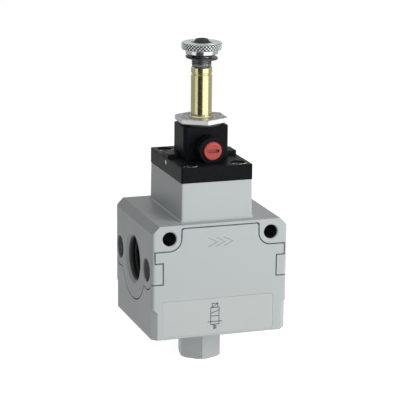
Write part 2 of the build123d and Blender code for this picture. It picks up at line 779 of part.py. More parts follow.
# Pilot plate: black adapter with the cross channel and four sunk screws
plate_gasket_width = plate_width - 2 * gasket_margin
plate_gasket_depth = plate_depth - 2 * gasket_margin
pilot_screw_places = [(-pilot_screw_x, pilot_screw_y), (pilot_screw_x, -pilot_screw_y)]
pilot_gasket_width = pilot_width - 2 * pilot_gasket_margin
pilot_gasket_depth = pilot_depth - 2 * pilot_gasket_margin
pilot_screw_seat = housing_top + gasket_height + pilot_screw_sink + pilot_screw_head_height
with BuildPart() as pilot_plate:
    with BuildSketch(Plane.XY.offset(housing_top)):
        Rectangle(plate_width, plate_depth)
        fillet(vertices(), plate_corner)
    extrude(amount=plate_height)
    chamfer(pilot_plate.faces().sort_by(Axis.Z)[-1].edges(), plate_edge)
    with BuildSketch(Plane.XY.offset(plate_top)):
        pad_centre = (plate_width - lug_pad_width) / 2 - lug_pad_inset
        for side in (-1, 1):
            with Locations((side * pad_centre, (lug_pad_back - lug_pad_front) / 2)):
                Rectangle(lug_pad_width, lug_pad_back + lug_pad_front)
    extrude(amount=lug_pad_rise)
    with BuildSketch(Plane.XY.offset(housing_top)):
        with GridLocations(2 * screw_x, 2 * screw_y, 2, 2):
            Circle(screw_shank / 2 + 2 * slip)
        with Locations((0, feed_channel_offset)):
            Circle(channel / 2)
    extrude(amount=plate_height, mode=Mode.SUBTRACT)
    with BuildSketch(Plane.XY.offset(plate_top)):
        with GridLocations(2 * screw_x, 2 * screw_y, 2, 2):
            Circle(counterbore / 2)
    extrude(amount=-counterbore_depth, mode=Mode.SUBTRACT)
    with BuildSketch(Plane.XY.offset(housing_top)):
        RectangleRounded(plate_gasket_width, plate_gasket_depth, plate_corner)
    extrude(amount=gasket_height, mode=Mode.SUBTRACT)
    with BuildSketch(Plane.XY.offset(housing_top)):
        with Locations((-channel_offset, 0)):
            Circle(channel / 2)
    extrude(amount=cross_channel_rise, mode=Mode.SUBTRACT)
    with BuildSketch(Plane.XY.offset(cross_channel)):
        Circle(channel / 2)
    extrude(amount=plate_height, mode=Mode.SUBTRACT)
    with BuildSketch(Plane.YZ.offset(-plate_width / 2)):
        with Locations((0, cross_channel)):
            Circle(channel_plug / 2 + slip)
    extrude(amount=(plate_width + channel_plug) / 2 + slip, mode=Mode.SUBTRACT)
    with BuildSketch(Plane.XY.offset(housing_top)):
        with Locations(*pilot_screw_places):
            Circle(pilot_screw / 2 + slip)
    extrude(amount=plate_height, mode=Mode.SUBTRACT)
    with BuildSketch(Plane.XY.offset(housing_top)):
        with Locations(*pilot_screw_places):
            Circle(pilot_screw_head / 2 + slip)
    extrude(amount=pilot_screw_seat - housing_top, mode=Mode.SUBTRACT)
save(pilot_plate, "pilot_plate")

with BuildPart() as plate_gasket:
    with BuildSketch(Plane.XY.offset(housing_top)):
        RectangleRounded(plate_gasket_width - 2 * slip, plate_gasket_depth - 2 * slip, plate_corner)
        with GridLocations(2 * screw_x, 2 * screw_y, 2, 2):
            Circle(screw_shank / 2 + 2 * slip, mode=Mode.SUBTRACT)
        with Locations((-channel_offset, 0), (0, feed_channel_offset)):
            Circle(channel / 2, mode=Mode.SUBTRACT)
    extrude(amount=gasket_height)
save(plate_gasket, "plate_gasket")

with BuildPart() as channel_plug_pin:
    with BuildSketch(Plane.YZ.offset(-plate_width / 2)):
        with Locations((0, cross_channel)):
            Circle(channel_plug / 2)
    extrude(amount=plate_width / 2 - channel_offset - channel / 2)
save(channel_plug_pin, "channel_plug")

# Four long socket screws through plate and housing into the body
screw_seat = plate_top - counterbore_depth
with BuildPart() as plate_screws:
    with BuildSketch(Plane.XY.offset(body_top - screw_grip)):
        with GridLocations(2 * screw_x, 2 * screw_y, 2, 2):
            Circle(screw_shank / 2)
    extrude(amount=screw_seat - body_top + screw_grip)
    with BuildSketch(Plane.XY.offset(screw_seat)):
        with GridLocations(2 * screw_x, 2 * screw_y, 2, 2):
            Circle(screw_head / 2)
    extrude(amount=screw_head_height)
    with BuildSketch(Plane.XY.offset(screw_seat + screw_head_height)):
        with GridLocations(2 * screw_x, 2 * screw_y, 2, 2):
            RegularPolygon(screw_socket_flats / 2 / cos(radians(30)), 6)
    extrude(amount=-screw_socket_depth, mode=Mode.SUBTRACT)
save(plate_screws, "plate_screws")

# Pilot body with the boss for the manual override
override_front = Plane(origin=(0, 0, override_level), x_dir=(1, 0, 0), z_dir=(0, -1, 0))
override_section = Plane(origin=(0, 0, override_level), x_dir=(1, 0, 0), z_dir=(0, 0, -1))
override_axis = Axis((0, 0, override_level), (0, -1, 0))
head_face = boss_reach + override_proud
head_back = head_face - override_head
shaft_hole = override_shaft / 2 + running
head_hole = override_diameter / 2 + running
spigot_socket = flange_spigot / 2 + slip
retainer_x = (override_shaft + retainer) / 2 - retainer_bite
retainer_end = override_level + retainer_top
with BuildPart() as pilot_body:
    with BuildSketch(Plane.XY.offset(plate_top)):
        Rectangle(pilot_width, pilot_depth)
        fillet(vertices(), pilot_corner)
    extrude(amount=pilot_height)
    with BuildSketch(override_front):
        Circle(boss_diameter / 2)
        with Locations((0, -override_rise)):
            Rectangle(boss_diameter, boss_diameter, align=(Align.CENTER, Align.MAX), mode=Mode.SUBTRACT)
    extrude(amount=boss_reach)
    chamfer(pilot_body.faces().sort_by(Axis.Z)[-1].edges(), pilot_edge)
    add(turned([
        (0, chamber_floor), (chamber_diameter / 2, chamber_floor), (chamber_diameter / 2, tube_bottom),
        (spigot_socket, tube_bottom), (spigot_socket, pilot_top), (0, pilot_top),
    ]), mode=Mode.SUBTRACT)
    add(turned([
        (0, plate_top), (channel / 2, plate_top), (channel / 2, chamber_floor - nozzle_grip),
        (nozzle_diameter / 2 + slip, chamber_floor - nozzle_grip),
        (nozzle_diameter / 2 + slip, chamber_floor), (0, chamber_floor),
    ]), mode=Mode.SUBTRACT)
    add(turned([
        (0, override_end - touch), (shaft_hole, override_end - touch), (shaft_hole, head_back - touch),
        (head_hole, head_back - touch), (head_hole, head_face), (0, head_face),
    ], override_section, override_axis), mode=Mode.SUBTRACT)
    with BuildSketch(Plane.XY.offset(plate_top)):
        with Locations((0, feed_channel_offset)):
            Circle(channel / 2)
    extrude(amount=chamber_floor - plate_top, mode=Mode.SUBTRACT)
    with BuildSketch(Plane.XY.offset(override_level)):
        with Locations((0, -pusher_offset)):
            Circle(pusher_diameter / 2 + running)
    extrude(amount=chamber_floor - override_level, mode=Mode.SUBTRACT)
    with BuildSketch(Plane.XY.offset(plate_top)):
        with Locations((retainer_x, -retainer_front)):
            Circle(retainer / 2 + slip)
    extrude(amount=retainer_end - plate_top, mode=Mode.SUBTRACT)
    with BuildSketch(Plane.XY.offset(plate_top)):
        with Locations(*pilot_screw_places):
            Circle(pilot_screw / 2 + slip)
    extrude(amount=pilot_screw_bite + screw_room, mode=Mode.SUBTRACT)
    with BuildSketch(Plane.XY.offset(plate_top)):
        RectangleRounded(pilot_gasket_width, pilot_gasket_depth, pilot_corner)
    extrude(amount=pilot_gasket_height, mode=Mode.SUBTRACT)
save(pilot_body, "pilot_body")

with BuildPart() as pilot_gasket:
    with BuildSketch(Plane.XY.offset(plate_top)):
        RectangleRounded(pilot_gasket_width - 2 * slip, pilot_gasket_depth - 2 * slip, pilot_corner)
        with Locations((0, 0), (0, feed_channel_offset)):
            Circle(channel / 2, mode=Mode.SUBTRACT)
        with Locations(*pilot_screw_places):
            Circle(pilot_screw / 2 + slip, mode=Mode.SUBTRACT)
    extrude(amount=pilot_gasket_height)
save(pilot_gasket, "pilot_gasket")

with BuildPart() as pilot_screws:
    with BuildSketch(Plane.XY.offset(pilot_screw_seat)):
        with Locations(*pilot_screw_places):
            Circle(pilot_screw / 2)
    extrude(amount=plate_top + pilot_screw_bite - pilot_screw_seat)
    with BuildSketch(Plane.XY.offset(pilot_screw_seat)):
        with Locations(*pilot_screw_places):
            Circle(pilot_screw_head / 2)
    extrude(amount=-pilot_screw_head_height)
save(pilot_screws, "pilot_screws")

with BuildPart() as override_retainer:
    with BuildSketch(Plane.XY.offset(plate_top + pilot_gasket_height)):
        with Locations((retainer_x, -retainer_front)):
            Circle(retainer / 2)
    extrude(amount=retainer_end - touch - plate_top - pilot_gasket_height)
save(override_retainer, "override_retainer")

with BuildPart() as pilot_nozzle:
    nozzle_bottom = chamber_floor - nozzle_grip
    add(turned([
        (nozzle_hole / 2, nozzle_bottom), (nozzle_diameter / 2, nozzle_bottom),
        (nozzle_diameter / 2, chamber_floor + nozzle_shoulder), (nozzle_lip / 2, nozzle_top),
        (nozzle_hole / 2, nozzle_top),
    ]))
save(pilot_nozzle, "pilot_nozzle")

# Pusher between the override's pin and the plunger, at its low place
pusher_bottom = override_level + (override_cam - override_lift) / 2 + touch
with BuildPart() as override_pusher:
    with BuildSketch(Plane.XY.offset(pusher_bottom)):
        with Locations((0, -pusher_offset)):
            Circle(pusher_diameter / 2)
    extrude(amount=plunger_bottom - touch - pusher_bottom)
save(override_pusher, "override_pusher")

# Red manual override: slotted head, grooves for seal and retaining pin, eccentric pin inside
override_seal_place = head_face - override_seal_back
with BuildPart() as override_screw:
    head, shaft = override_diameter / 2, override_shaft / 2
    add(turned([
        (0, override_cam_start), (shaft, override_cam_start),
        *groove(shaft, retainer_front, retainer_bite, width=retainer),
        (shaft, head_back), (head, head_back), *groove(head, override_seal_place, fine_cord),
        (head, head_face - override_edge), (head - override_edge, head_face), (0, head_face),
    ], override_section, override_axis))
    with BuildSketch(override_front.offset(override_end)):
        with Locations((-override_lift / 2, -override_lift / 2)):
            Circle(override_cam / 2)
    extrude(amount=override_cam_start - override_end)
    with BuildSketch(override_front.offset(head_face)):
        SlotOverall(slot_length, slot_width)
    extrude(amount=-slot_depth, mode=Mode.SUBTRACT)
    with BuildSketch(override_front.offset(head_face)):
        turn = radians(mark_end)
        tip = Vector(cos(turn), sin(turn)) * mark_radius
        with BuildLine():
            CenterArc((0, 0), mark_radius, mark_start, mark_end - mark_start)
            offset(amount=mark_width / 2, side=Side.BOTH, kind=Kind.INTERSECTION)
        make_face()
        with BuildLine():
            outward = Vector(cos(turn), sin(turn)) * mark_head
            onward = Vector(-sin(turn), cos(turn)) * mark_head_length
            Polyline(tip - outward, tip + outward, tip + onward, close=True)
        make_face()
    extrude(amount=mark_height)
save(override_screw, "override_screw")

override_seal = seal_ring(
    head, override_seal_place, fine_cord, plane=override_section, axis=override_axis
)
save(override_seal, "override_seal")

# Hexagon flange that clamps the armature tube onto the pilot body
flange_seal_mid = flange_spigot / 2 + flange_seal_out
with BuildPart() as flange_nut:
    add(hexagon(flange_flats, flange_height, flange_bottom, flange_turn, flange_rim))
    spigot_bottom = pilot_top - flange_spigot_length
    tube_hole = tube_diameter / 2 + slip
    add(turned([
        (tube_hole, spigot_bottom), (flange_spigot / 2, spigot_bottom), (flange_spigot / 2, pilot_top),
        (flange_face / 2, pilot_top), (flange_face / 2, flange_top - flange_rim),
        (tube_hole, flange_top - flange_rim),
    ]))
    with BuildSketch(Plane.XY.offset(spigot_bottom)):
        Circle(tube_hole)
    extrude(amount=flange_top - spigot_bottom, mode=Mode.SUBTRACT)
    with BuildSketch(Plane.XY.offset(pilot_top)):
        Circle(flange_seal_mid + fine_cord / 2 + groove_play)
        Circle(flange_seal_mid - fine_cord / 2 - groove_play, mode=Mode.SUBTRACT)
    extrude(amount=fine_cord, mode=Mode.SUBTRACT)
save(flange_nut, "flange_nut")

flange_seal = seal_ring(flange_seal_mid + fine_cord / 2, pilot_top + fine_cord / 2, fine_cord)
save(flange_seal, "flange_seal")

# Armature tube: foot under the flange, collar on it, groove rolled in near the top
tube_outer = tube_diameter / 2
tube_inner = tube_outer - tube_wall
roll_low = flange_top + tube_groove_rise
roll_high = roll_low + tube_groove_height


def rolled(radius):
    """Outline points of the rolled groove on a wall of this radius, upwards."""
    bottom = radius - tube_groove_depth
    return [
        (radius, roll_low), (bottom, roll_low + tube_groove_flank),
        (bottom, roll_high - tube_groove_flank), (radius, roll_high),
    ]


with BuildPart() as armature_tube:
    foot_top = tube_bottom + tube_foot_height
    collar_top = flange_top + tube_collar_height
    add(turned([
        (tube_inner, tube_bottom), (tube_foot / 2, tube_bottom), (tube_foot / 2, foot_top),
        (tube_outer, foot_top), (tube_outer, flange_top), (tube_collar / 2, flange_top),
        (tube_outer, collar_top), *rolled(tube_outer), (tube_outer, tube_top - tube_lip),
        (tube_outer - tube_lip, tube_top), (tube_inner, tube_top), *reversed(rolled(tube_inner)),
    ]))
save(armature_tube, "armature_tube")

# Fixed core in the tube, going on as the stud that holds the coil nut
core_radius = tube_inner - slip
stud = stud_diameter / 2
stud_root = stud - stud_groove
thread_start = tube_top + stud_neck
thread_end = thread_start + stud_thread
stud_top = thread_end + stud_tip_rise
vent_hole = channel / 2
with BuildPart() as fixed_core:
    vent_floor = stud_top - stud_vent_depth
    add(turned([
        (vent_hole, core_face), (core_radius, core_face), *rolled(core_radius),
        (core_radius, tube_top), (stud_root, tube_top),
        *thread_outline(thread_start, thread_end, stud, stud_root, stud_pitch, stud_flank),
        (stud_taper / 2, thread_end), (stud_tip / 2, stud_top), (stud_vent / 2, stud_top),
        (stud_vent / 2, vent_floor), (vent_hole, vent_floor),
    ]))
save(fixed_core, "fixed_core")

# Plunger with its rubber face and spring
plunger_radius = tube_inner - running
with BuildPart() as plunger:
    with BuildSketch(Plane.XY.offset(plunger_bottom)):
        Circle(plunger_radius)
        Rectangle(2 * (plunger_radius - plunger_flat), 2 * plunger_radius, mode=Mode.INTERSECT)
    extrude(amount=plunger_length)
    with BuildSketch(Plane.XY.offset(plunger_bottom)):
        Circle(plunger_seal / 2 + slip)
    extrude(amount=plunger_seal_height, mode=Mode.SUBTRACT)
    with BuildSketch(Plane.XY.offset(plunger_top)):
        Circle(plunger_spring_well / 2)
    extrude(amount=-(plunger_spring_length - plunger_stroke), mode=Mode.SUBTRACT)
save(plunger, "plunger")

with BuildPart() as plunger_seal_disc:
    with BuildSketch(Plane.XY.offset(plunger_bottom)):
        Circle(plunger_seal / 2)
    extrude(amount=plunger_seal_height)
save(plunger_seal_disc, "plunger_seal")

plunger_spring_coil = coil_spring(
    core_face - plunger_spring_length, core_face, plunger_spring, plunger_spring_wire,
    plunger_spring_coils,
)
save(plunger_spring_coil, "plunger_spring")

# Black ring that lies loose on the stud, a little tilted
tilted = Plane(origin=(0, 0, washer_level), x_dir=(1, 0, 0), z_dir=(0, 0, 1)).rotated(
    (washer_tilt, washer_tilt, 0)
)
with BuildPart() as coil_washer:
    with BuildSketch(tilted):
        Circle(washer_diameter / 2)
        Circle(washer_hole / 2, mode=Mode.SUBTRACT)
    extrude(amount=washer_height)
    fillet(coil_washer.edges().filter_by(GeomType.CIRCLE), washer_round)
save(coil_washer, "coil_washer")

# Knurled nut on the stud
nut_bore = stud + thread_play
with BuildPart() as knurled_nut:
    hub, grip = nut_hub / 2, nut_diameter / 2
    knurl_bottom, nut_top = nut_bottom + nut_hub_height, nut_bottom + nut_height
    add(turned([
        (nut_bore, nut_bottom), (hub - nut_rim, nut_bottom), (hub, nut_bottom + nut_rim),
        (hub, knurl_bottom), (grip - nut_rim, knurl_bottom), (grip, knurl_bottom + nut_rim),
        (grip, nut_top - nut_rim), (grip - nut_rim, nut_top), (nut_bore, nut_top),
    ]))
save(knurled_nut, "knurled_nut")
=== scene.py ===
"""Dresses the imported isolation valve: finishes, knurled nut, label print, studio and camera.

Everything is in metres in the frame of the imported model: +Z up, the front with the cover
panel towards -Y. Sizes in the property groups are lengths too, so the panel shows them in
the scene's own unit.
"""

import json
from math import cos, floor, hypot, pi, radians, sin

import bmesh
import bpy
from mathutils import Matrix, Vector


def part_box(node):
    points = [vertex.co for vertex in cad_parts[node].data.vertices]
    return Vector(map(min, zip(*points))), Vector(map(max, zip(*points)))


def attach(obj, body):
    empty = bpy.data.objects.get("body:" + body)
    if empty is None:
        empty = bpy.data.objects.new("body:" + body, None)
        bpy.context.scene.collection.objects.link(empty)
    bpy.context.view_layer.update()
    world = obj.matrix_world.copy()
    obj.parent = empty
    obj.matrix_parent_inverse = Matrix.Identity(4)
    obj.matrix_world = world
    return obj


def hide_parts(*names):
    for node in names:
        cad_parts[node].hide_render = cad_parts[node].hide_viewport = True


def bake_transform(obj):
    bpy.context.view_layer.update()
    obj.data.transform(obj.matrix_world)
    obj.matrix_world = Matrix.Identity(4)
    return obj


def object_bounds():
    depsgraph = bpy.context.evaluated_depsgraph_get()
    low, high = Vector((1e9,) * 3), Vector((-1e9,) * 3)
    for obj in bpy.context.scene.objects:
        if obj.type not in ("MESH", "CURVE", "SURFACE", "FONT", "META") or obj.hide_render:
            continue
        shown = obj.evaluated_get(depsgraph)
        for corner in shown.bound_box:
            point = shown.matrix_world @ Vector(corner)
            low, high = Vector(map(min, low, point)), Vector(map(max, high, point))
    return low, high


bl_info = {
    "name": "Isolation Valve Dresser",
    "version": (1, 0, 0),
    "blender": (4, 5, 0),
    "location": "3D Viewport > Sidebar > Valve",
    "description": "Gives a packed isolation valve its finishes, knurled nut, label and studio",
    "category": "Object",
}

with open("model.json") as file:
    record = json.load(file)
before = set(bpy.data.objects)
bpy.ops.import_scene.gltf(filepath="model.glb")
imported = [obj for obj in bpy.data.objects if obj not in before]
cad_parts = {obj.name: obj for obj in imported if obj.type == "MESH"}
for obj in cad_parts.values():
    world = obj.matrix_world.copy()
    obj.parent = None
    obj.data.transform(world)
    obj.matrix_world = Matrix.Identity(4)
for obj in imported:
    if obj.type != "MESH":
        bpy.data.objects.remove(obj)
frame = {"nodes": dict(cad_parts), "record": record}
cad_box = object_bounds()
MM = 0.001


def span(node, axis):
    """Size of a CAD node along one axis, 0 to 2."""
    low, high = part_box(node)
    return high[axis] - low[axis]


class Field:
    """The output of a shader node, used in sums like a number."""

    def __init__(self, finish, socket):
        self.finish = finish
        self.socket = socket

    def math(self, operation, *values):
        return self.finish.node("ShaderNodeMath", {"operation": operation}, dict(enumerate(values)))

    def __add__(self, other):
        return self.math("ADD", self, other)

    __radd__ = __add__

    def __mul__(self, other):
        return self.math("MULTIPLY", self, other)

    __rmul__ = __mul__

    def __sub__(self, other):
        return self.math("SUBTRACT", self, other)

    def __rsub__(self, other):
        return self.math("SUBTRACT", other, self)

    def __pow__(self, other):
        return self.math("POWER", self, other)

    def __abs__(self):
        return self.math("ABSOLUTE", self)

    def above(self, level, soft):
        """0 below the level and 1 above it, over a soft width."""
        return self.finish.node(
            "ShaderNodeMapRange", {"interpolation_type": "SMOOTHSTEP"},
            {"Value": self, "From Min": level - soft / 2, "From Max": level + soft / 2},
        )

    def below(self, level, soft):
        return 1 - self.above(level, soft)


class Finish:
    """A material on its way: a Principled shader, and the nodes that feed it."""

    def __init__(self, name, **constants):
        self.material = bpy.data.materials.new(name)
        self.material.use_nodes = True
        self.tree = self.material.node_tree
        self.shader = self.tree.nodes["Principled BSDF"]
        self.place = None
        for key, value in constants.items():
            socket = key.replace("_", " ").title().replace("Ior", "IOR")
            self.shader.inputs[socket].default_value = value

    def node(self, kind, settings, inputs, output=0):
        """Adds a node with its settings and then its values or links; gives one output."""
        made = self.tree.nodes.new(kind)
        for key, value in settings.items():
            setattr(made, key, value)
        for key, value in inputs.items():
            if isinstance(value, Field):
                self.tree.links.new(value.socket, made.inputs[key])
            else:
                made.inputs[key].default_value = value
        return Field(self, made.outputs[output])

    def feed(self, socket, field):
        self.tree.links.new(field.socket, self.shader.inputs[socket])

    def point(self):
        """Where the surface point is on the object, in metres."""
        if self.place is None:
            self.place = self.node("ShaderNodeTexCoord", {}, {}, "Object")
        return self.place

    def along(self, axis):
        """One coordinate of the surface point: 0, 1 or 2."""
        return self.node("ShaderNodeSeparateXYZ", {}, {0: self.point()}, axis)

    def from_axis(self, axis, first, second):
        """Distance from a line along one axis; first and second are its other coordinates."""
        others = [n for n in range(3) if n != axis]
        a = self.along(others[0]) - first
        b = self.along(others[1]) - second
        return (a * a + b * b) ** 0.5

    def noise(self, size, detail=2.0, rough=0.5, stretch=None):
        """Soft random patches of one size in metres, between 0 and 1."""
        where = self.point()
        if stretch:
            where = self.node(
                "ShaderNodeVectorMath", {"operation": "MULTIPLY"}, {0: where, 1: stretch}
            )
        return self.node(
            "ShaderNodeTexNoise", {},
            {"Vector": where, "Scale": 1 / size, "Detail": detail, "Roughness": rough},
        )

    def blend(self, factor, first, second):
        """Colour between two colours."""
        return self.node(
            "ShaderNodeMix", {"data_type": "RGBA"}, {0: factor, 6: first, 7: second}, 2
        )

    def rounded(self, radius):
        """Normal with every sharp edge rounded by this radius."""
        return self.node("ShaderNodeBevel", {"samples": 6}, {"Radius": radius})

    def edge(self, rounded):
        """0 on open faces, rising to 1 where the rounded normal turns away from the face."""
        turned_a_little, soft = 0.12, 0.2
        flat = self.node("ShaderNodeNewGeometry", {}, {}, "True Normal")
        same = self.node(
            "ShaderNodeVectorMath", {"operation": "DOT_PRODUCT"}, {0: rounded, 1: flat}, "Value"
        )
        return (1 - same).above(turned_a_little, soft)

    def bump(self, height, distance, normal=None):
        """Normal of small relief, over another normal if one is given."""
        inputs = {"Height": height, "Distance": distance}
        if normal is not None:
            inputs["Normal"] = normal
        return self.node("ShaderNodeBump", {}, inputs)

    def coloured(self, colour, change, factor):
        """Feeds the base colour: the colour, with a share of another one by a factor."""
        self.feed("Base Color", self.blend(factor, (*colour, 1), (*change, 1)))

    def on(self, *nodes):
        """Puts the finish on CAD nodes."""
        for name in nodes:
            slots = frame["nodes"][name].data.materials
            slots.clear()
            slots.append(self.material)
        return self


def shade(colour, share):
    """A lighter or darker version of a colour."""
    return tuple(min(1.0, channel * share) for channel in colour)


class ValveBodyLook(bpy.types.PropertyGroup):
    """Body, block and cover."""

    paint: bpy.props.FloatVectorProperty(
        name="Paint", description="Satin paint of the body and the block",
        subtype="COLOR", size=3, default=(0.455, 0.485, 0.488), min=0, max=1,
    )
    cover: bpy.props.FloatVectorProperty(
        name="Cover", description="Moulded lower cover",
        subtype="COLOR", size=3, default=(0.455, 0.488, 0.49), min=0, max=1,
    )
    # Bore colour: painted shade, near black, inside the threads and the mounting holes.
    bore: bpy.props.FloatVectorProperty(
        name="Bores", description="Threads and holes, oiled and unpainted",
        subtype="COLOR", size=3, default=(0.02, 0.023, 0.023), min=0, max=1,
    )
    film: bpy.props.FloatVectorProperty(
        name="Label film", description="Film on the front",
        subtype="COLOR", size=3, default=(0.48, 0.51, 0.505), min=0, max=1,
    )
    ink: bpy.props.FloatVectorProperty(
        name="Label ink", description="Print on the film",
        subtype="COLOR", size=3, default=(0.05, 0.05, 0.055), min=0, max=1,
    )
    edge_radius: bpy.props.FloatProperty(
        name="Edge radius", description="Softness of the painted edges",
        default=0.35 * MM, min=0, unit="LENGTH", precision=5,
    )
    grain: bpy.props.FloatProperty(
        name="Grain", description="Size of the grain of the paint",
        default=0.28 * MM, min=0, unit="LENGTH", precision=5,
    )


class ValvePilotLook(bpy.types.PropertyGroup):
    """Black pilot with its red override."""

    plastic: bpy.props.FloatVectorProperty(
        name="Plastic", description="Black glass-filled plastic",
        subtype="COLOR", size=3, default=(0.004, 0.005, 0.006), min=0, max=1,
    )
    override: bpy.props.FloatVectorProperty(
        name="Override", description="Red turning head",
        subtype="COLOR", size=3, default=(0.56, 0.052, 0.045), min=0, max=1,
    )
    screws: bpy.props.FloatVectorProperty(
        name="Screws", description="Blackened socket screws",
        subtype="COLOR", size=3, default=(0.035, 0.036, 0.038), min=0, max=1,
    )
    grain: bpy.props.FloatProperty(
        name="Grain", description="Size of the mottling of the plastic",
        default=0.9 * MM, min=0, unit="LENGTH", precision=5,
    )


class ValveArmatureLook(bpy.types.PropertyGroup):
    """Tube, flange, stud and knurled nut."""

    tube: bpy.props.FloatVectorProperty(
        name="Tube", description="Yellow passivated tube",
        subtype="COLOR", size=3, default=(0.62, 0.575, 0.33), min=0, max=1,
    )
    zinc: bpy.props.FloatVectorProperty(
        name="Zinc", description="Zinc plating of the hexagon flange",
        subtype="COLOR", size=3, default=(0.52, 0.53, 0.52), min=0, max=1,
    )
    nickel: bpy.props.FloatVectorProperty(
        name="Nickel", description="Satin nickel of the exhaust hexagon",
        subtype="COLOR", size=3, default=(0.43, 0.45, 0.45), min=0, max=1,
    )
    chrome: bpy.props.FloatVectorProperty(
        name="Chrome", description="Bright plating of the knurled nut",
        subtype="COLOR", size=3, default=(0.66, 0.71, 0.71), min=0, max=1,
    )
    knurl_count: bpy.props.IntProperty(
        name="Knurls", description="Diamonds round the nut", default=36, min=12,
    )
    knurl_height: bpy.props.FloatProperty(
        name="Knurl height", description="Height of one diamond",
        default=1.35 * MM, min=0, unit="LENGTH", precision=5,
    )
    knurl_depth: bpy.props.FloatProperty(
        name="Knurl depth", description="Depth of the grooves between the diamonds",
        default=0.34 * MM, min=0, unit="LENGTH", precision=5,
    )


class ValveStudio(bpy.types.PropertyGroup):
    """Camera, lights and floor."""

    azimuth: bpy.props.FloatProperty(
        name="Azimuth", description="How far the camera stands to the left of the front",
        subtype="ANGLE", default=radians(18.786),
    )
    elevation: bpy.props.FloatProperty(
        name="Elevation", description="How far the camera looks down",
        subtype="ANGLE", default=radians(13.909),
    )
    roll: bpy.props.FloatProperty(
        name="Roll", description="Turn of the camera about its own line of sight",
        subtype="ANGLE", default=radians(0.531),
    )
    distance: bpy.props.FloatProperty(
        name="Distance", description="From the camera to its target",
        default=790.445 * MM, min=0, unit="LENGTH",
    )
    target_level: bpy.props.FloatProperty(
        name="Target level", description="Height of the target above the floor",
        default=69.405 * MM, min=0, unit="LENGTH",
    )
    target_shift: bpy.props.FloatProperty(
        name="Target shift", description="Target to the left of the upright axis",
        default=0.134 * MM, unit="LENGTH", precision=5,
    )
    lens: bpy.props.FloatProperty(
        name="Lens", description="Focal length in millimetres on a 36 mm sensor", default=164.43,
    )
    floor_size: bpy.props.FloatProperty(
        name="Floor", description="Side of the square floor", default=6.0, min=0, unit="LENGTH",
    )
    daylight: bpy.props.FloatProperty(
        name="Daylight", description="Strength of the soft light from all round", default=0.26,
    )


def paint(name, look, roughness):
    """Satin paint or plastic with fine grain, softened edges and faint handling marks."""
    patch_size, grain_depth, gloss_change = 9 * MM, 0.006 * MM, 0.10
    finish = Finish(name, specular_ior_level=0.35)
    grain = finish.noise(look.grain, detail=3.0)
    patches = finish.noise(patch_size, detail=3.0)
    finish.feed("Roughness", roughness + gloss_change * (patches - 0.5))
    finish.feed("Normal", finish.bump(grain, grain_depth, finish.rounded(look.edge_radius)))
    return finish, patches


def body_masks(finish):
    """Masks over the body for painted light: painted shade in the threads and mounting holes,
    painted highlights on the crests of the threads, painted shade in the clamp sockets.
    """
    facts = {mount["name"]: mount for mount in frame["record"]["mounts"]}
    port, ears, sockets = (
        facts[name] for name in ("inlet_port", "wall_holes", "clamp_sockets_left")
    )
    half_width, half_depth = span("valve_body", 0) / 2, span("valve_body", 1) / 2
    thread_radius, thread_start, crest_depth = 10.6 * MM, 1.1 * MM, 0.3 * MM
    skin_depth, play, soft = 0.5 * MM, 0.06 * MM, 0.1 * MM
    x, y = abs(finish.along(0)), abs(finish.along(1))
    from_port = finish.from_axis(0, *port["pos_m"][1:])
    inside = x.below(half_width - thread_start, 3 * soft)
    threads = from_port.below(thread_radius, soft) * inside
    # Painted highlight: the crests of the threads are lighter than the painted shade in the bore.
    crests = from_port.below(port["dims"]["r_mm"] * MM + crest_depth, soft) * threads
    holes = 0
    for side in (-0.5, 0.5):
        ear = finish.from_axis(1, side * ears["dims"]["spacing_x_mm"] * MM, ears["pos_m"][2])
        holes = ear.below(ears["dims"]["hole_r_mm"] * MM + play, soft) + holes
    holes = holes * y.below(half_depth - skin_depth, 3 * soft)
    # Painted shade: darker in the clamp sockets.
    well_radius = facts["clamp_sockets_right"]["dims"]["hole_r_mm"] * MM + play
    shaded_wells = 0
    for side in (-0.5, 0.5):
        middle = sockets["pos_m"][1] + side * sockets["dims"]["spacing_x_mm"] * MM
        shaded_wells = finish.from_axis(0, middle, sockets["pos_m"][2]).below(well_radius, soft) + shaded_wells
    return threads + holes, crests, shaded_wells * x.below(half_width - skin_depth, 3 * soft)


class VALVE_OT_housing(bpy.types.Operator):
    """Finish the body, the block, the cover and the exhaust hexagon"""

    bl_idname = "valve.housing"
    bl_label = "Finish Housing"

    def execute(self, context):
        look = context.scene.valve_body_look
        metal = context.scene.valve_armature_look
        patch_shade, well_shade, crest_shade = 0.95, 0.42, 3.5
        body, patches = paint("body_paint", look, 0.46)
        bare, crests, shaded_wells = body_masks(body)
        skin = body.blend(patches * 0.5, (*look.paint, 1), (*shade(look.paint, patch_shade), 1))
        # Painted shade in the clamp sockets.
        skin = body.blend(shaded_wells, skin, (*shade(look.paint, well_shade), 1))
        # Painted shade: the threads and mounting holes get the near-black bore colour.
        skin = body.blend(bare, skin, (*look.bore, 1))
        # Painted highlight on the crests of the threads.
        crest_highlight = (*shade(look.bore, crest_shade), 1)
        body.feed("Base Color", body.blend(crests * 0.8, skin, crest_highlight))
        body.on("valve_body")

        block, patches = paint("block_paint", look, 0.44)
        block.coloured(look.paint, shade(look.paint, patch_shade), patches * 0.5)
        block.on("actuator_housing")

        cover, patches = paint("cover_plastic", look, 0.42)
        cover.coloured(look.cover, shade(look.cover, patch_shade), patches * 0.5)
        cover.on("lower_cover")

        film = Finish("label_film_plastic", roughness=0.34, specular_ior_level=0.4)
        wrinkle = film.noise(6 * MM)
        film.coloured(look.film, shade(look.film, 0.96), wrinkle * 0.6)
        film.feed("Normal", film.bump(wrinkle, 0.02 * MM))
        film.on("label_film")

        nickel = Finish("satin_nickel", metallic=0.3)
        rounded = nickel.rounded(0.3 * MM)
        brushed = nickel.noise(0.5 * MM, detail=4.0)
        nickel.coloured(metal.nickel, shade(metal.nickel, 0.85), brushed)
        nickel.feed("Roughness", 0.32 + 0.12 * brushed)
        nickel.feed("Normal", nickel.bump(brushed, 0.004 * MM, rounded))
        nickel.on("exhaust_port")
        return {"FINISHED"}


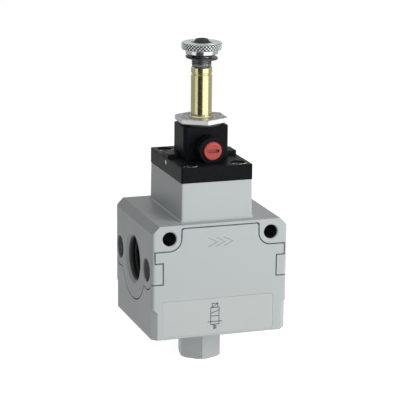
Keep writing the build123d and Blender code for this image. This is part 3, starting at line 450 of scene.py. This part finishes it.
class VALVE_OT_pilot(bpy.types.Operator):
    """Finish the black pilot, its screws, its plug and the red override"""

    bl_idname = "valve.pilot"
    bl_label = "Finish Pilot"

    def rim_highlights(self, finish):
        """1 where a highlight is painted on the front rim of each counterbore, and 0 elsewhere."""
        low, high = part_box("plate_screws")
        head_radius, sunk = 2.95 * MM, 0.6 * MM
        rim, width, front_share, soft = 3.6 * MM, 0.9 * MM, 0.6, 0.1 * MM
        broken_dashes = finish.noise(0.7 * MM, detail=0.0).above(0.45, 0.2)
        total = 0
        for x in (low.x + head_radius, high.x - head_radius):
            for y in (low.y + head_radius, high.y - head_radius):
                away = finish.from_axis(2, x, y)
                ring = away.above(rim - width / 2, soft) * away.below(rim + width / 2, soft)
                total = ring * finish.along(1).below(y - front_share * rim, 5 * soft) + total
        return total * broken_dashes * finish.along(2).above(high.z + sunk - soft, soft)

    def execute(self, context):
        look = context.scene.valve_pilot_look
        plastic = Finish("black_glass_filled_plastic", specular_ior_level=0.05)
        mottle = plastic.noise(look.grain, detail=4.0, rough=0.6)
        streaks = plastic.noise(3 * MM, detail=3.0, stretch=(1, 1, 0.4))
        rounded = plastic.rounded(0.3 * MM)
        black = plastic.blend(
            mottle.above(0.6, 0.5), (*look.plastic, 1), (*shade(look.plastic, 2.5), 1)
        )
        # Painted highlight: near-white dashes on the front rim of each counterbore.
        painted_highlight = (0.95, 0.95, 0.95, 1)
        plastic.feed("Base Color", plastic.blend(self.rim_highlights(plastic), black, painted_highlight))
        plastic.feed("Roughness", 0.24 + 0.18 * mottle + 0.10 * streaks)
        plastic.feed("Normal", plastic.bump(mottle, 0.012 * MM, rounded))
        plastic.on("pilot_plate", "pilot_body")

        screws = Finish("black_oxide_steel", metallic=0.75)
        rounded = screws.rounded(0.15 * MM)
        wear = screws.edge(rounded)
        screws.coloured(look.screws, shade(look.screws, 6.0), wear)
        screws.feed("Roughness", 0.34 - 0.08 * wear)
        screws.feed("Normal", rounded)
        screws.on("plate_screws", "pilot_screws")

        bright = Finish("bright_ball_plug", metallic=1.0, roughness=0.2)
        bright.coloured((0.62, 0.63, 0.64), (0.4, 0.41, 0.42), bright.noise(0.6 * MM))
        bright.on("channel_plug")

        red = Finish("red_turning_head", specular_ior_level=0.45)
        sheen = red.noise(1.2 * MM, detail=2.0)
        rounded = red.rounded(0.15 * MM)
        face, slot_depth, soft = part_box("override_screw")[0].y, 0.25 * MM, 0.2 * MM
        # Painted shade: darker in the slot and on the side of the head, wherever the surface lies
        # deeper than the slot depth behind the front face.
        sunk = (red.along(1) - face).above(slot_depth, soft)
        red.coloured(look.override, shade(look.override, 0.45), sunk)
        red.feed("Roughness", 0.36 + 0.1 * sheen)
        red.feed("Normal", red.bump(sheen, 0.006 * MM, rounded))
        red.on("override_screw")
        return {"FINISHED"}


class VALVE_OT_armature(bpy.types.Operator):
    """Finish the tube, the hexagon flange, the stud and the loose ring"""

    bl_idname = "valve.armature"
    bl_label = "Finish Armature"

    def execute(self, context):
        look = context.scene.valve_armature_look
        tube = Finish("yellow_passivation", metallic=1.0)
        iridescence = tube.noise(9 * MM, detail=1.0, stretch=(1, 1, 0.25))
        lines = tube.noise(0.6 * MM, detail=1.0, stretch=(0.05, 0.05, 1))
        tube.coloured(look.tube, shade(look.tube, 0.85), iridescence)
        tube.feed("Roughness", 0.13 + 0.05 * lines)
        tube.feed("Normal", tube.rounded(0.1 * MM))
        tube.on("armature_tube")

        thickness, edge_break, gap, soft = 2.0 * MM, 0.12 * MM, 0.4 * MM, 0.1 * MM
        zinc = Finish("zinc_plating")
        flecks = zinc.noise(1.0 * MM, detail=5.0, rough=0.65)
        rounded = zinc.rounded(0.2 * MM)
        wear = zinc.edge(rounded)
        tone = zinc.blend(
            flecks.above(0.48, 0.12), (*look.zinc, 1), (*shade(look.zinc, 0.35), 1)
        )
        tone = zinc.blend(wear, tone, (0.8, 0.81, 0.8, 1))
        hexagon_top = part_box("flange_nut")[1].z
        # Painted light: the side faces of the hexagon are given a lighter colour than its top, and
        # are less metallic.
        lit_sides = zinc.along(2).below(hexagon_top - edge_break, soft)
        tone = zinc.blend(lit_sides * 0.85, tone, (0.85, 0.86, 0.86, 1))
        zinc.feed("Metallic", 0.8 - 0.65 * lit_sides)
        shaded = zinc.along(2).below(hexagon_top - thickness + soft / 2, soft)
        tube_radius = span("armature_tube", 0) / 2
        shaded = shaded + zinc.from_axis(2, 0, 0).below(tube_radius - gap, soft)
        zinc.feed("Base Color", zinc.blend(shaded, tone, (0.02, 0.02, 0.02, 1)))
        zinc.feed("Roughness", 0.34 + 0.22 * flecks)
        zinc.feed("Normal", zinc.bump(flecks, 0.01 * MM, rounded))
        zinc.on("flange_nut")

        stud = Finish("dark_oiled_steel", metallic=0.9)
        film = stud.noise(1.5 * MM, detail=3.0)
        rounded = stud.rounded(0.12 * MM)
        bare, dull, darkened = (0.12, 0.125, 0.13, 1), (0.2, 0.205, 0.21, 1), (0.02, 0.022, 0.024, 1)
        steel = stud.blend(film.above(0.55, 0.3), bare, dull)
        # Darker above the lower face of the nut.
        tip = stud.along(2).above(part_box("knurled_nut")[0].z, 0.5 * MM)
        stud.feed("Base Color", stud.blend(tip * 0.85, steel, darkened))
        stud.feed("Roughness", 0.28 + 0.2 * film)
        stud.feed("Normal", rounded)
        stud.on("fixed_core")

        rubber = Finish("black_ring_rubber", specular_ior_level=0.6)
        dust = rubber.noise(0.7 * MM, detail=4.0)
        rubber.coloured((0.012, 0.012, 0.013), (0.03, 0.03, 0.03), dust.above(0.6, 0.4))
        rubber.feed("Roughness", 0.22 + 0.2 * dust)
        rubber.feed("Normal", rubber.bump(dust, 0.01 * MM))
        rubber.on("coil_washer")
        return {"FINISHED"}


def knurl(turn, rise):
    """Height of a diamond knurl, 0 in the grooves and 1 on the flats of the diamonds."""
    flank = 0.5
    deepest = 0.0
    for place in (turn + rise, turn - rise):
        deepest = max(deepest, abs(place - floor(place) - 0.5) * 2)
    return min(1.0, (1 - deepest) / flank)


def lathe(name, outline, columns, radius_at):
    """A closed round piece from an outline of (radius, level) points that runs all round."""
    mesh = bmesh.new()
    rings = []
    for radius, level in outline:
        ring = []
        for column in range(columns):
            angle = 2 * pi * column / columns
            reach = radius_at(radius, level, angle)
            ring.append(mesh.verts.new((reach * cos(angle), reach * sin(angle), level)))
        rings.append(ring)
    for lower, upper in zip(rings, rings[1:] + rings[:1]):
        for column in range(columns):
            after = (column + 1) % columns
            mesh.faces.new((lower[column], lower[after], upper[after], upper[column]))
    bmesh.ops.recalc_face_normals(mesh, faces=mesh.faces)
    data = bpy.data.meshes.new(name)
    mesh.to_mesh(data)
    mesh.free()
    piece = bpy.data.objects.new(name, data)
    bpy.context.scene.collection.objects.link(piece)
    return piece


class VALVE_OT_nut(bpy.types.Operator):
    """Make the knurled nut"""

    bl_idname = "valve.nut"
    bl_label = "Make Knurled Nut"

    def execute(self, context):
        look = context.scene.valve_armature_look
        low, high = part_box("knurled_nut")
        grip = span("knurled_nut", 0) / 2
        hub, bore = 7.05 * MM, 4.33 * MM
        hub_top = low.z + 1.9 * MM
        rim, small = 0.5 * MM, 0.3 * MM
        band_low, band_high = hub_top + rim, high.z - rim
        rows, columns_per_knurl = 24, 8
        band = [
            (grip, band_low + (band_high - band_low) * row / rows) for row in range(rows + 1)
        ]
        outline = [
            (bore, low.z + rim), (bore + rim, low.z), (hub - small, low.z), (hub, low.z + small),
            (hub, hub_top), (grip - rim, hub_top), *band, (grip - rim, high.z),
            (bore + rim, high.z), (bore, high.z - rim),
        ]

        def radius_at(radius, level, angle):
            if radius < grip:
                return radius
            turn = look.knurl_count * angle / (2 * pi)
            rise = (level - low.z) / look.knurl_height
            return radius - look.knurl_depth * (1 - knurl(turn, rise))

        columns = look.knurl_count * columns_per_knurl
        piece = lathe("nut_knurled_body", outline, columns, radius_at)
        chrome = Finish("bright_plated_nut", metallic=1.0)
        turned = chrome.from_axis(2, 0, 0)
        rings = chrome.node(
            "ShaderNodeTexNoise", {"noise_dimensions": "1D"},
            {"W": turned, "Scale": 1 / (0.12 * MM), "Detail": 2.0},
        )
        smears = chrome.noise(2.0 * MM, detail=3.0)
        level = chrome.along(2)
        # Painted shade: the grooves between the diamonds are coloured near black.
        grooves = turned.below(grip - 0.45 * look.knurl_depth, 0.25 * look.knurl_depth)
        grooves = grooves * level.above(band_low - rim / 2, 0.1 * MM)
        grooves = grooves * level.below(band_high + rim / 2, 0.1 * MM)
        plated = chrome.blend(smears, (*look.chrome, 1), (*shade(look.chrome, 0.8), 1))
        chrome.feed("Base Color", chrome.blend(grooves, plated, (*shade(look.chrome, 0.05), 1)))
        on_hub = level.below(hub_top - 0.05 * MM, 0.1 * MM)
        chrome.feed("Roughness", 0.26 + 0.16 * smears - 0.18 * on_hub)
        chrome.feed("Normal", chrome.bump(rings, 0.003 * MM))
        piece.data.materials.append(chrome.material)
        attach(piece, "nut")
        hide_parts("knurled_nut")
        return {"FINISHED"}


def strokes(name, lines, width, front):
    """Flat print of straight lines, each a pair of (x, z) points, at one distance in front."""
    mesh = bmesh.new()
    for (x0, z0), (x1, z1) in lines:
        length = hypot(x1 - x0, z1 - z0)
        along = ((x1 - x0) / length * width / 2, (z1 - z0) / length * width / 2)
        corners = []
        for end, way in (((x0, z0), -1), ((x1, z1), 1)):
            for side in (-way, way):
                x = end[0] + way * along[0] - side * along[1]
                z = end[1] + way * along[1] + side * along[0]
                corners.append(mesh.verts.new((x, front, z)))
        mesh.faces.new(corners)
    bmesh.ops.recalc_face_normals(mesh, faces=mesh.faces)
    data = bpy.data.meshes.new(name)
    mesh.to_mesh(data)
    mesh.free()
    piece = bpy.data.objects.new(name, data)
    bpy.context.scene.collection.objects.link(piece)
    return piece


class VALVE_OT_label(bpy.types.Operator):
    """Print a plain valve symbol on the label film"""

    bl_idname = "valve.label"
    bl_label = "Print Label"

    def execute(self, context):
        look = context.scene.valve_body_look
        low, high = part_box("label_film")
        side, line, pitch = 3.7 * MM, 0.36 * MM, 0.42 * MM
        share_across, base_height, clear_of_film = 0.47, 4.0 * MM, 0.01 * MM
        x = low.x + share_across * (high.x - low.x)
        z = low.z + base_height
        left, right = x - side / 2, x + side / 2
        lines = []
        for square in (0, 1):
            base = z + square * side
            lines += [((left, base), (left, base + side)), ((right, base), (right, base + side))]
        for level in range(3):
            lines.append(((left, z + level * side), (right, z + level * side)))
        third = side / 3
        lines += [
            ((left, z + third), (right, z + third)),
            ((left, z + side + third), (right, z + side + 2 * third)),
            ((left - third, z + third), (left, z + third)),
            ((right, z + third), (right + third, z + third)),
        ]
        spring = [(x - third / 2 + (n % 2) * third, z - pitch * (n + 1)) for n in range(5)]
        lines += list(zip([(x, z)] + spring[:-1], spring))
        top = z + 2 * side
        lines += [
            ((x - third, top), (x - third, top + side / 2)),
            ((x + third, top), (x + third, top + side / 2)),
            ((x - third, top + side / 2), (x + third, top + side / 2)),
            ((x - third, top), (x + third, top + side / 2)),
        ]
        symbol = strokes("label_symbol", lines, line, low.y - clear_of_film)
        ink = Finish("label_ink", roughness=0.5)
        ink.coloured(look.ink, shade(look.ink, 2.5), ink.noise(0.3 * MM, detail=3.0))
        symbol.data.materials.append(ink.material)
        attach(symbol, "housing")
        return {"FINISHED"}


class VALVE_OT_inside(bpy.types.Operator):
    """Finish the hidden springs, seals, brass and steel pieces"""

    bl_idname = "valve.inside"
    bl_label = "Finish Inside"

    def springs(self):
        """Copies of the two springs in place of their CAD nodes, which are hidden."""
        for name, lower_body, upper_body in (
            ("return_spring", "housing", "poppet_train"), ("plunger_spring", "armature", "housing"),
        ):
            coil = bpy.data.objects.new(f"{name}_coil", frame["nodes"][name].data.copy())
            bpy.context.scene.collection.objects.link(coil)
            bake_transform(coil)
            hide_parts(name)

    def execute(self, context):
        tones = {
            "inner_steel": ((0.45, 0.45, 0.44), 1.0, 0.3),
            "inner_brass": ((0.62, 0.47, 0.20), 1.0, 0.28),
            "inner_aluminium": ((0.62, 0.63, 0.64), 1.0, 0.36),
            "seal_rubber": ((0.014, 0.014, 0.015), 0.0, 0.55),
            "dark_steel": ((0.06, 0.06, 0.065), 0.9, 0.35),
        }
        finished = {}
        for material in frame["record"]["materials"]:
            slot = material["slot"]
            if slot not in tones:
                continue
            colour, metallic, rough = tones[slot]
            finish = Finish(f"{slot}_finish", metallic=metallic)
            marks = finish.noise(0.8 * MM, detail=4.0)
            finish.coloured(colour, shade(colour, 0.7), marks)
            finish.feed("Roughness", rough + 0.15 * marks)
            finish.feed("Normal", finish.bump(marks, 0.004 * MM))
            finished[slot] = finish
        for thing in frame["nodes"].values():
            slots = thing.data.materials
            for place, material in enumerate(slots):
                slot = material.name.split(".")[0] if material else None
                if slot in finished:
                    slots[place] = finished[slot].material
        self.springs()
        return {"FINISHED"}


def studio_light(name, azimuth, elevation, distance, size, power, target):
    """A soft square lamp that looks at the target; azimuth is to the right of the front."""
    data = bpy.data.lights.new(name, "AREA")
    data.shape = "RECTANGLE"
    data.size, data.size_y = size
    data.energy = power
    lamp = bpy.data.objects.new(name, data)
    a, e = radians(azimuth), radians(elevation)
    away = Vector((sin(a) * cos(e), -cos(a) * cos(e), sin(e)))
    lamp.location = target + distance * away
    lamp.rotation_euler = away.to_track_quat("Z", "Y").to_euler()
    bpy.context.scene.collection.objects.link(lamp)


def studio_card(name, azimuths, levels, distance, tone):
    """A curved card round the object, from one azimuth to another, that only shows in gloss."""
    steps = 12
    corners, faces = [], []
    for step in range(steps + 1):
        a = radians(azimuths[0] + (azimuths[1] - azimuths[0]) * step / steps)
        for level in levels:
            corners.append((distance * sin(a), -distance * cos(a), level))
    for step in range(steps):
        first = 2 * step
        faces.append((first, first + 2, first + 3, first + 1))
    data = bpy.data.meshes.new(name)
    data.from_pydata(corners, [], faces)
    material = bpy.data.materials.new(name)
    material.use_nodes = True
    tree = material.node_tree
    tree.nodes.remove(tree.nodes["Principled BSDF"])
    glow = tree.nodes.new("ShaderNodeEmission")
    glow.inputs["Color"].default_value = (1, 1, 1, 1)
    glow.inputs["Strength"].default_value = tone
    tree.links.new(glow.outputs[0], tree.nodes["Material Output"].inputs[0])
    data.materials.append(material)
    card = bpy.data.objects.new(name, data)
    bpy.context.scene.collection.objects.link(card)
    card.visible_camera = False
    card.visible_diffuse = False
    card.visible_shadow = False


def seen_directly(tree):
    """1 for rays that should meet the plain white background."""
    path = tree.nodes.new("ShaderNodeLightPath")
    total = path.outputs["Is Camera Ray"]
    for name in ("Is Glossy Ray", "Is Transmission Ray"):
        larger = tree.nodes.new("ShaderNodeMath")
        larger.operation = "MAXIMUM"
        tree.links.new(total, larger.inputs[0])
        tree.links.new(path.outputs[name], larger.inputs[1])
        total = larger.outputs[0]
    return total


class VALVE_OT_stage(bpy.types.Operator):
    """Make the floor, the soft lights and the camera"""

    bl_idname = "valve.stage"
    bl_label = "Make Stage"

    def execute(self, context):
        studio = context.scene.valve_studio
        scene = context.scene
        scene.view_settings.view_transform = "Standard"
        middle = Vector((0, 0, (cad_box[0][2] + cad_box[1][2]) / 2))
        self.world(scene, studio)
        self.floor(studio)
        self.camera(scene, studio)
        for name, azimuth, elevation, distance, side, power in (
            ("key_light", 42, 16, 1.1, 0.9, 11.0),
            ("front_fill", -8, 10, 1.4, 0.7, 4.5),
        ):
            studio_light(name, azimuth, elevation, distance, (side, side), power, middle)
        for name, azimuths, levels, distance, tone in (
            ("black_card", (-57, -5), (0, 0.3), 0.30, 0.05),
            ("white_card", (-2, 58), (0.012, 0.1), 0.35, 1.9),
            ("bright_card_left", (-84, -62), (0, 0.1), 0.35, 1.15),
            ("grey_card_right", (60, 165), (0, 0.3), 0.35, 0.6),
            ("grey_card_left", (-165, -88), (0, 0.3), 0.35, 0.5),
        ):
            studio_card(name, azimuths, levels, distance, tone)
        return {"FINISHED"}

    def world(self, scene, studio):
        world = bpy.data.worlds.new("studio_daylight")
        world.use_nodes = True
        tree = world.node_tree
        background = tree.nodes["Background"]
        background.inputs["Color"].default_value = (studio.daylight,) * 3 + (1,)
        white = tree.nodes.new("ShaderNodeBackground")
        white.inputs["Color"].default_value = (1, 1, 1, 1)
        mixed = tree.nodes.new("ShaderNodeMixShader")
        tree.links.new(seen_directly(tree), mixed.inputs[0])
        tree.links.new(background.outputs[0], mixed.inputs[1])
        tree.links.new(white.outputs[0], mixed.inputs[2])
        tree.links.new(mixed.outputs[0], tree.nodes["World Output"].inputs[0])
        scene.world = world

    def floor(self, studio):
        half = studio.floor_size / 2
        data = bpy.data.meshes.new("floor")
        corners = [(-half, -half, 0), (half, -half, 0), (half, half, 0), (-half, half, 0)]
        data.from_pydata(corners, [], [(0, 1, 2, 3)])
        ground = bpy.data.objects.new("floor", data)
        bpy.context.scene.collection.objects.link(ground)
        material = bpy.data.materials.new("pale_floor")
        material.use_nodes = True
        tree = material.node_tree
        plain = tree.nodes["Principled BSDF"]
        plain.inputs["Base Color"].default_value = (0.72, 0.72, 0.72, 1)
        plain.inputs["Roughness"].default_value = 0.9
        plain.inputs["Specular IOR Level"].default_value = 0.0
        faint = tree.nodes.new("ShaderNodeBsdfDiffuse")
        faint.inputs["Color"].default_value = (0.35, 0.35, 0.35, 1)
        glow = tree.nodes.new("ShaderNodeEmission")
        glow.inputs["Color"].default_value = (0.92, 0.92, 0.92, 1)
        lit = tree.nodes.new("ShaderNodeAddShader")
        mixed = tree.nodes.new("ShaderNodeMixShader")
        tree.links.new(faint.outputs[0], lit.inputs[0])
        tree.links.new(glow.outputs[0], lit.inputs[1])
        tree.links.new(seen_directly(tree), mixed.inputs[0])
        tree.links.new(plain.outputs[0], mixed.inputs[1])
        tree.links.new(lit.outputs[0], mixed.inputs[2])
        tree.links.new(mixed.outputs[0], tree.nodes["Material Output"].inputs[0])
        data.materials.append(material)

    def camera(self, scene, studio):
        a, e, r = -studio.azimuth, studio.elevation, studio.roll
        away = Vector((sin(a) * cos(e), -cos(a) * cos(e), sin(e)))
        right = Vector((cos(a), sin(a), 0))
        up = away.cross(right)
        target = -studio.target_shift * right + Vector((0, 0, studio.target_level))
        rolled_right = cos(r) * right + sin(r) * up
        rolled_up = cos(r) * up - sin(r) * right
        data = bpy.data.cameras.new("photo_camera")
        data.lens = studio.lens
        data.sensor_width = 36
        data.clip_start = 0.01
        camera = bpy.data.objects.new("photo_camera", data)
        turn = Matrix((rolled_right, rolled_up, away)).transposed()
        camera.matrix_world = Matrix.Translation(target + studio.distance * away) @ turn.to_4x4()
        scene.collection.objects.link(camera)
        scene.camera = camera


class VALVE_PT_panel(bpy.types.Panel):
    """Lists the steps in the order in which they are run"""

    bl_idname = "VALVE_PT_panel"
    bl_label = "Isolation Valve"
    bl_space_type = "VIEW_3D"
    bl_region_type = "UI"
    bl_category = "Valve"

    def draw(self, context):
        for step in STEPS:
            self.layout.operator(step.bl_idname)
        for group in LOOKS:
            for name in LOOKS[group].__annotations__:
                self.layout.prop(getattr(context.scene, group), name)


STEPS = (
    VALVE_OT_stage, VALVE_OT_inside, VALVE_OT_housing, VALVE_OT_pilot, VALVE_OT_armature,
    VALVE_OT_nut, VALVE_OT_label,
)
LOOKS = {
    "valve_body_look": ValveBodyLook,
    "valve_pilot_look": ValvePilotLook,
    "valve_armature_look": ValveArmatureLook,
    "valve_studio": ValveStudio,
}


def register():
    for group, kind in LOOKS.items():
        bpy.utils.register_class(kind)
        setattr(bpy.types.Scene, group, bpy.props.PointerProperty(type=kind))
    for kind in (*STEPS, VALVE_PT_panel):
        bpy.utils.register_class(kind)


def unregister():
    for kind in (VALVE_PT_panel, *reversed(STEPS)):
        bpy.utils.unregister_class(kind)
    for group, kind in LOOKS.items():
        delattr(bpy.types.Scene, group)
        bpy.utils.unregister_class(kind)


def main():
    register()
    for step in STEPS:
        module, name = step.bl_idname.split(".")
        getattr(getattr(bpy.ops, module), name)()


if __name__ == "__main__":
    main()
